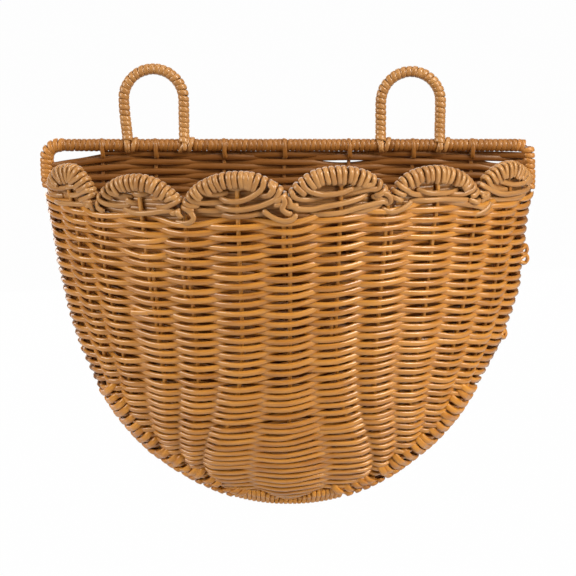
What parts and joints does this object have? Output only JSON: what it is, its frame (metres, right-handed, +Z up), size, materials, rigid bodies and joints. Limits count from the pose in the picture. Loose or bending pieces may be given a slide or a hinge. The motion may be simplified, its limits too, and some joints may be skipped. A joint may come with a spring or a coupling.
{
  "type": "wall basket",
  "caption": "Half-round woven wall basket with a flat back, a bulging front with a scalloped wrapped rim, and wrapped wire loops to hang it by.",
  "frame": {"origin": "a point on the back panel's flat rear face, on the wall, midway across the basket and 108 mm below the top bar's centre line", "axes": "+Y out of the back into the wall, so the basket's front faces -Y; +X to the right seen from the front; +Z up"},
  "size_m": [0.33, 0.1133, 0.3081],
  "materials": {
    "steel_wire": "drawn wire, hidden under the strand; inferred",
    "wound_strand": "satin rattan-like plastic strand, wound",
    "woven_strand": "satin rattan-like plastic strand, woven",
    "stake": "satin rattan-like plastic strand"
  },
  "bodies": {
    "root": {"back_stake_1": "stake", "back_stake_2": "stake", "back_stake_3": "stake", "back_stake_4": "stake", "back_stake_5": "stake", "back_stake_6": "stake", "back_stake_7": "stake", "back_weave": "woven_strand", "bar_winding": "wound_strand", "corner_winding_left": "wound_strand", "corner_winding_right": "wound_strand", "front_stake_01": "stake", "front_stake_02": "stake", "front_stake_03": "stake", "front_stake_04": "stake", "front_stake_05": "stake", "front_stake_06": "stake", "front_stake_07": "stake", "front_stake_08": "stake", "front_stake_09": "stake", "front_stake_10": "stake", "front_stake_11": "stake", "front_weave": "woven_strand", "hoop_binding": "wound_strand", "hoop_wire": "steel_wire", "loop_tie_1": "wound_strand", "loop_tie_2": "wound_strand", "loop_tie_3": "wound_strand", "loop_tie_4": "wound_strand", "loop_winding_left": "wound_strand", "loop_winding_right": "wound_strand", "loop_wire_left": "steel_wire", "loop_wire_right": "steel_wire", "rim_knot_1": "wound_strand", "rim_knot_2": "wound_strand", "rim_knot_3": "wound_strand", "rim_knot_4": "wound_strand", "rim_knot_5": "wound_strand", "scallop_winding_left_1": "wound_strand", "scallop_winding_left_2": "wound_strand", "scallop_winding_left_3": "wound_strand", "scallop_winding_right_1": "wound_strand", "scallop_winding_right_2": "wound_strand", "scallop_winding_right_3": "wound_strand", "scallop_wire_left_1": "steel_wire", "scallop_wire_left_2": "steel_wire", "scallop_wire_left_3": "steel_wire", "scallop_wire_right_1": "steel_wire", "scallop_wire_right_2": "steel_wire", "scallop_wire_right_3": "steel_wire"}
  },
  "joints": []
}
